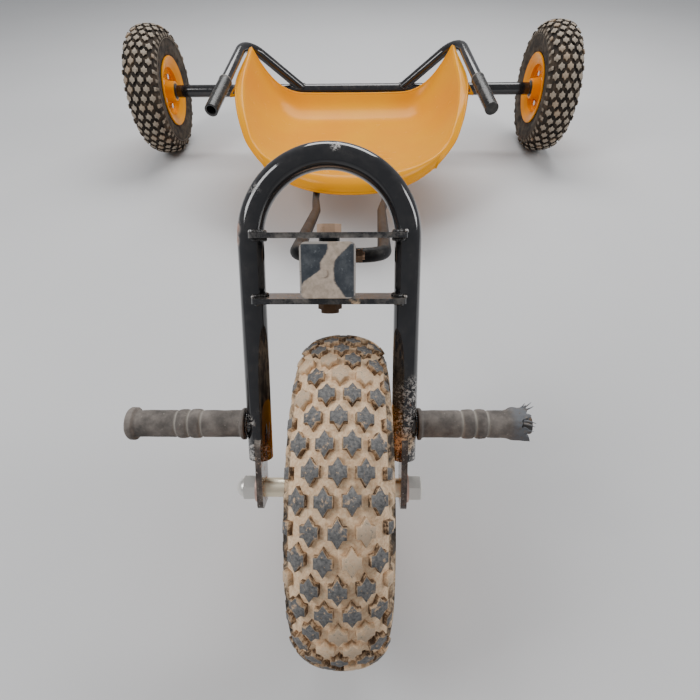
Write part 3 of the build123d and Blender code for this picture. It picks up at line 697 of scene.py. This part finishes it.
# The upper skin as a grid: a flat pan, a wall that steepens up to the wing, a rolled flange. share
# is 0 in the middle and 1 at the wing edge; wall = 0.03 share^2 + 0.97 climb^2.8.
def seatSurface():
    knots = [(*middle, *edge, *flange) for middle, edge, flange in seat["stations"]]
    rows = smoothRows(knots, seat["rows"]) / 1000
    midY, midZ, edge, flange = rows[:, 0:1], rows[:, 1:2], rows[:, 2:5], rows[:, 5:8]
    u = np.linspace(-1, 1, seat["columns"] * 2 + 1)[None]
    share = np.abs(u)
    climb = np.maximum((share - 0.45) / 0.55, 0)
    wall = 0.03 * share ** 2 + 0.97 * climb ** 2.8
    x, y = edge[:, 0:1] * u, midY + (edge[:, 1:2] - midY) * share ** 2.2
    z = midZ + (edge[:, 2:3] - midZ) * wall
    skin = np.stack([x, y, z], -1)
    t = np.linspace(0, 1, seat["roll"] + 1)[1:, None, None]
    control = edge + (flange - edge) * 0.55 + np.array([0, 0, 0.0016])
    roll = edge[None] * (1 - t) ** 2 + control[None] * 2 * t * (1 - t) + flange[None] * t * t
    right = roll.transpose(1, 0, 2)
    left = right[:, ::-1] * [-1, 1, 1]
    return np.concatenate([left, skin, right], 1)


# Both skins, 4 mm apart, their edges closed, and a small bead rolled round the whole edge.
def seatShellParts():
    top = seatSurface()
    down, over = np.gradient(top, axis=0), np.gradient(top, axis=1)
    normal = np.cross(over, down)
    normal /= np.linalg.norm(normal, axis=2)[..., None]
    bottom = top - normal * seat["thick"]
    rows, columns = top.shape[:2]
    size = rows * columns
    index = np.arange(size).reshape(rows, columns)
    edge = np.concatenate([index[0], index[1:, -1], index[-1, -2::-1], index[-2:0:-1, 0]])
    after = np.roll(edge, -1)
    upper = gridFaces(rows, columns)
    sides = np.stack([edge, edge + size, after + size, after], -1)
    shell = (np.concatenate([top.reshape(-1, 3), bottom.reshape(-1, 3)]),
             [upper, upper[:, ::-1] + size, sides])
    middle = (top.reshape(-1, 3)[edge] + bottom.reshape(-1, 3)[edge]) / 2
    return shell, tubeParts(middle[::2], seat["bead"], 10, closed=True)


# A round post turned about an upright axis, from the seat plates up to the underside of the pan.
def bossParts(x, y, top):
    low = float(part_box("seat_plates")[1][2])
    outline = rounded([(0, 0.0005), (0, seat["bossRadius"]), (top - low, seat["bossRadius"]),
                       (top - low, 0.0005)], 0.0008)
    return turnedParts(outline, (x, y, low), (0, 0, 1), 28)


ear = {"back": 0.392, "front": 0.300, "slots": 3, "slotSize": (0.62, 0.52), "ring": 28, "thick": 0.0022}


# A thin web from the wing out towards the handle tube, pierced by three slots. Each slot has its
# own cell: rings of points run from the oval out to the cell's straight edges.
def earParts(side):
    top = seatSurface()
    outer = top[:, -1] * [side, 1, 1]
    inner = np.array([[np.interp(y, outer[:, 1], outer[:, 0]) - side * 0.001, y,
                       np.interp(y, outer[:, 1], outer[:, 2]) - 0.004]
                      for y in (ear["back"], ear["front"])])
    far = inner + np.array([[side * 0.002, 0, -0.004], [side * 0.014, 0, -0.003]])
    cells, ring, thick = ear["slots"], ear["ring"], ear["thick"]
    turn = np.linspace(0, tau, ring, endpoint=False)
    box = np.stack([np.cos(turn), np.sin(turn)], -1)
    box = box / np.abs(box).max(1)[:, None]
    oval = np.stack([np.cos(turn), np.sin(turn)], -1) * ear["slotSize"]
    parts = []
    for cell in range(cells):
        def place(flat, lift):
            v = (cell + 0.5 + flat[:, 0] * 0.5) / cells
            u = 0.5 + flat[:, 1] * 0.5
            start = inner[0] * (1 - v[:, None]) + inner[1] * v[:, None]
            end = far[0] * (1 - v[:, None]) + far[1] * v[:, None]
            return start * (1 - u[:, None]) + end * u[:, None] + [0, 0, lift]
        loops = [place(box, 0), place(oval * 1.12, 0), place(oval, -thick / 4), place(oval, -thick),
                 place(box, -thick)]
        faces = gridFaces(5, ring, True, True)
        parts.append((np.concatenate(loops), [faces if side > 0 else faces[:, ::-1]]))
    return parts


shell, bead = seatShellParts()
bosses = [bossParts(side * seat["bossHalf"], y, top) for y, top in seat["bosses"] for side in (-1, 1)]
seatPoints, seatFaces = joinParts([shell, bead] + bosses)
makePiece("seatShell", makeMesh("seatShell", seatPoints, seatFaces), finishes["yellow_seat"],
          "frame", ["seat_shell"])
for side, word in ((-1, "Left"), (1, "Right")):
    makePiece("seatEar" + word, makeMesh("seatEar" + word, *joinParts(earParts(side))),
              finishes["yellow_seat"], "frame", smooth=False)
print("seat", len(seatPoints), "points")

# Foot pegs
peg = {"at": 0.0576, "start": 0.070, "end": 0.168, "torn": 0.159, "radius": 0.0115, "flange": 0.0135,
       "bands": [0.036, 0.0465, 0.0565], "bore": 0.0082, "sides": 56, "shreds": 9}


# (along, radius) from the leg outwards: a flange, a plain grip, two plump bands between grooves, a
# plain end, then a second flange if the end is whole.
def pegProfile(closed):
    length = (peg["end"] if closed else peg["torn"]) - peg["start"]
    along = np.linspace(0.0005, length, 150)
    r = peg["radius"] - 0.0004 + 0 * along
    r += (peg["flange"] - peg["radius"]) * (1 - smoothStep(along, 0.0025, 0.0045))
    first, second, third = peg["bands"]
    for low, high in ((first, second), (second, third)):
        r += 0.0010 * np.sin(pi * np.clip((along - low) / (high - low), 0, 1)) ** 0.6
    for groove in peg["bands"]:
        r -= 0.0009 * np.exp(-((along - groove) / 0.0008) ** 2)
    if closed:
        r += (peg["flange"] - peg["radius"] + 0.0004) * smoothStep(along, length - 0.0085, length - 0.0065)
        r -= 0.0035 * np.maximum((along - length + 0.003) / 0.003, 0) ** 2
    else:
        r += 0.0016 * smoothStep(along, length - 0.022, length - 0.004)
    return along, r


# The grip's profile turned about the peg bar; a torn end is open and carries shreds.
def makePeg(side, word, closed, seed):
    rng = np.random.default_rng(seed)
    along, r = pegProfile(closed)
    inside = 0.0005 if closed else peg["bore"]
    outline = [(along[0], peg["bore"])] + list(zip(along, r))
    if closed:
        outline = [(along[0], 0.0005)] + outline + [(along[-1], inside)]
    else:
        outline += [(along[-1] - 0.0008, inside + 0.001), (along[-1] - 0.02, inside), outline[0]]
    at = steerPoint(side * peg["start"], peg["at"])
    phases = rng.uniform(0, tau, 6)

    # Lumps everywhere; on the torn end the length varies round the rim in ragged steps.
    def wobble(length, radius, turn):
        lump = sum(np.sin(turn * (k + 1) + length * 180 * (k % 3) + phases[k]) for k in range(6)) / 6
        radius = radius + 0.00035 * lump * (radius > 0.009)
        if not closed:
            edge = smoothStep(length, along[-1] - 0.020, along[-1])
            ragged = (0.5 * np.sin(turn * 3 + 1) + 0.3 * np.sin(turn * 7 + phases[0])
                      + 0.25 * np.sin(turn * 13 + phases[1]))
            length = length + edge * 0.0065 * (ragged - 0.5)
            radius = radius + edge * 0.0016 * np.abs(ragged) * (radius > 0.0095)
        return length, radius

    parts = turnedParts(outline, at, across * side, peg["sides"], wobble)
    count = len(parts[0])
    distance = (parts[0] - at) @ (across * side)
    torn = 0 * distance if closed else smoothStep(distance, 0.072, 0.080)
    groove = sum(np.exp(-((distance - band) / 0.0009) ** 2) for band in peg["bands"])
    pieces = [parts]
    if not closed:        # shreds of rubber curling off the ripped end
        for _ in range(peg["shreds"]):
            turn = rng.uniform(-0.4, 2.3)
            out = steerBack * -cos(turn) + steerUp * sin(turn)
            start = at + across * side * (along[-1] - 0.006) + out * 0.0115
            t = np.linspace(0, 1, 7)[:, None]
            curl = 0.002 * t + 0.004 * t * t * rng.uniform(-1, 1)
            path = (start + across * side * t * rng.uniform(0.006, 0.013) + out * curl
                    + np.cross(across, out) * 0.005 * t * t * rng.uniform(-1, 1))
            pieces.append(tubeParts(path, 0.0012 * (1.15 - t[:, 0]), 7))
    points, faceSets = joinParts(pieces)
    extra = len(points) - count
    layers = {"torn": np.concatenate([torn, np.ones(extra)]),
              "groove": np.concatenate([np.clip(groove, 0, 1), np.zeros(extra)])}
    makePiece("pegGrip" + word, makeMesh("pegGrip" + word, points, faceSets, layers),
              finishes["peg_rubber"], "fork", ["peg_grip_" + word.lower()])


makePeg(-1, "Left", True, 4)
makePeg(1, "Right", False, 9)
print("foot pegs made")

# Welds and small rings
leg = {"offset": 0.0595, "radius": 0.010, "plates": [0.161, 0.2085], "plateHalf": 0.002,
       "pegRing": 0.0088}


# A weld bead: a tube along a path whose radius swells once for every pool of metal.
def beadParts(path, radius, seed, ripple=0.0022):
    rng = np.random.default_rng(seed)
    path = np.asarray(path, float)
    far = np.concatenate([[0], np.cumsum(np.linalg.norm(np.diff(path, axis=0), axis=1))])
    count = max(int(far[-1] / (ripple / 4)), 6)
    at = np.linspace(0, far[-1], count)
    smooth = np.stack([np.interp(at, far, path[:, k]) for k in range(3)], -1)
    swell = radius * (0.85 + 0.15 * np.cos(at * tau / ripple) + rng.normal(0, 0.05, count))
    swell = swell * np.sqrt(np.clip(np.minimum(at, at[-1] - at) / radius, 0.05, 1))
    return tubeParts(smooth, swell, 10)


# Part of a circle: centre + radius (first cos turn + second sin turn).
def arcPath(centre, first, second, radius, start, end, steps=24):
    turn = np.linspace(start, end, steps)[:, None]
    return centre + radius * (first * np.cos(turn) + second * np.sin(turn))


bright, painted = [], []
for number, up in enumerate(leg["plates"]):
    for side in (-1, 1):
        for face in (-1, 1):
            centre = steerPoint(side * leg["offset"], up + face * (leg["plateHalf"] + 0.0008))
            around = arcPath(centre, across * -side, steerBack, leg["radius"] + 0.0008, -1.35, 1.35)
            painted.append(beadParts(around, 0.0016, number * 8 + side + face + 4))
        corner = steerPoint(side * (leg["offset"] - 0.0035), up, -leg["radius"] - 0.0035)
        tip = [corner + steerUp * 0.0040, corner + steerUp * 0.0018 + across * side * 0.0022]
        bright.append(beadParts(tip, 0.0017, 40 + number * 3 + side, 0.0012))
        foot = [corner - steerUp * 0.0030 - across * side * 0.003, corner - steerUp * 0.0035]
        painted.append(beadParts(foot, 0.0017, 50 + number * 3 + side, 0.0014))
for side in (-1, 1):
    pegAt = steerPoint(side * (leg["offset"] + leg["radius"] - 0.0003), peg["at"])
    around = arcPath(pegAt, steerBack * -1, steerUp, leg["pegRing"], 0, tau)
    painted.append(beadParts(around, 0.0013, 60 + side))
makePiece("forkWeldBright", makeMesh("forkWeldBright", *joinParts(bright)), finishes["weld"],
          "fork")
makePiece("forkWeldPainted", makeMesh("forkWeldPainted", *joinParts(painted)), finishes["dark_weld"],
          "fork")

axleWeld = {"axleRadius": 0.0127, "bead": 0.0017, "railAcross": 0.061, "railHalf": 0.0062,
            "tubeAcross": 0.108, "tubeRadius": 0.0107, "tubeLean": (0.116, -0.018, 0.102)}
axleAt, axleRadius = hubs["left"] * [0, 1, 1], axleWeld["axleRadius"]
frameWelds = []
for side in (-1, 1):
    foot = axleAt + across * side * axleWeld["railAcross"] - np.array([0, 0, axleRadius + 0.004])
    for shift in (-axleWeld["railHalf"], axleWeld["railHalf"]):
        line = [foot + across * shift + np.array([0, y, 0.003]) for y in np.linspace(-0.007, 0.005, 8)]
        frameWelds.append(beadParts(line, axleWeld["bead"], 80 + side))
    lean = np.array(axleWeld["tubeLean"]) * [side, 1, 1]
    lean /= np.linalg.norm(lean)
    start = axleAt + across * side * axleWeld["tubeAcross"]
    u = np.cross(lean, [0, 1, 0])
    u /= np.linalg.norm(u)
    v = np.cross(lean, u)
    turn = np.linspace(0, tau, 40, endpoint=False)[:, None]
    out = u * np.cos(turn) + v * np.sin(turn)
    # Lines along the side tube's skin, and on each the place that lies on the axle tube's skin
    t = np.linspace(0.004, 0.035, 200)[None, :, None]
    places = (start + out * axleWeld["tubeRadius"])[:, None] + lean * t
    gap = np.linalg.norm((places - axleAt) * [0, 1, 1], axis=2)
    ring = places[np.arange(40), np.argmin(np.abs(gap - axleRadius - 0.0006), axis=1)]
    frameWelds.append(tubeParts(ring, axleWeld["bead"], 8, closed=True))
makePiece("frameWelds", makeMesh("frameWelds", *joinParts(frameWelds)), finishes["dark_weld"],
          "frame")

collar = {"end": (0.254, 0.225, 0.182), "knee": (0.224, 0.472, 0.232), "at": 0.0962,
          "inner": 0.0102, "outer": 0.0127, "width": 0.0026}
handleEnd, handleKnee = np.array(collar["end"]), np.array(collar["knee"])
handleAlong = (handleKnee - handleEnd) / np.linalg.norm(handleKnee - handleEnd)
collars = []
for side in (-1, 1):
    flip = np.array([side, 1, 1])
    inner, outer, width = collar["inner"], collar["outer"], collar["width"]
    outline = rounded([(0, inner), (0, outer), (width, outer), (width, inner), (0, inner)], 0.0008, 3)
    at = (handleEnd + handleAlong * collar["at"]) * flip
    collars.append(turnedParts(outline, at, handleAlong * flip, 36))
makePiece("gripCollars", makeMesh("gripCollars", *joinParts(collars)), finishes["collar"],
          "frame")
print("welds and rings made")

makeCamera()
makeLight()
floorMesh = makeMesh("floor", [(-6, -6, 0), (6, -6, 0), (6, 6, 0), (-6, 6, 0)], [np.array([[0, 1, 2, 3]])])
floorFinish = Finish("paleFloor", Roughness=0.6)
floorTone = floorFinish.blend(floorFinish.noise(3, 3), (0.60, 0.60, 0.605), (0.66, 0.66, 0.66))
floor = bpy.data.objects.new("floor", floorMesh)
floorMesh.materials.append(floorFinish.set(Base_Color=floorTone))
bpy.context.collection.objects.link(floor)
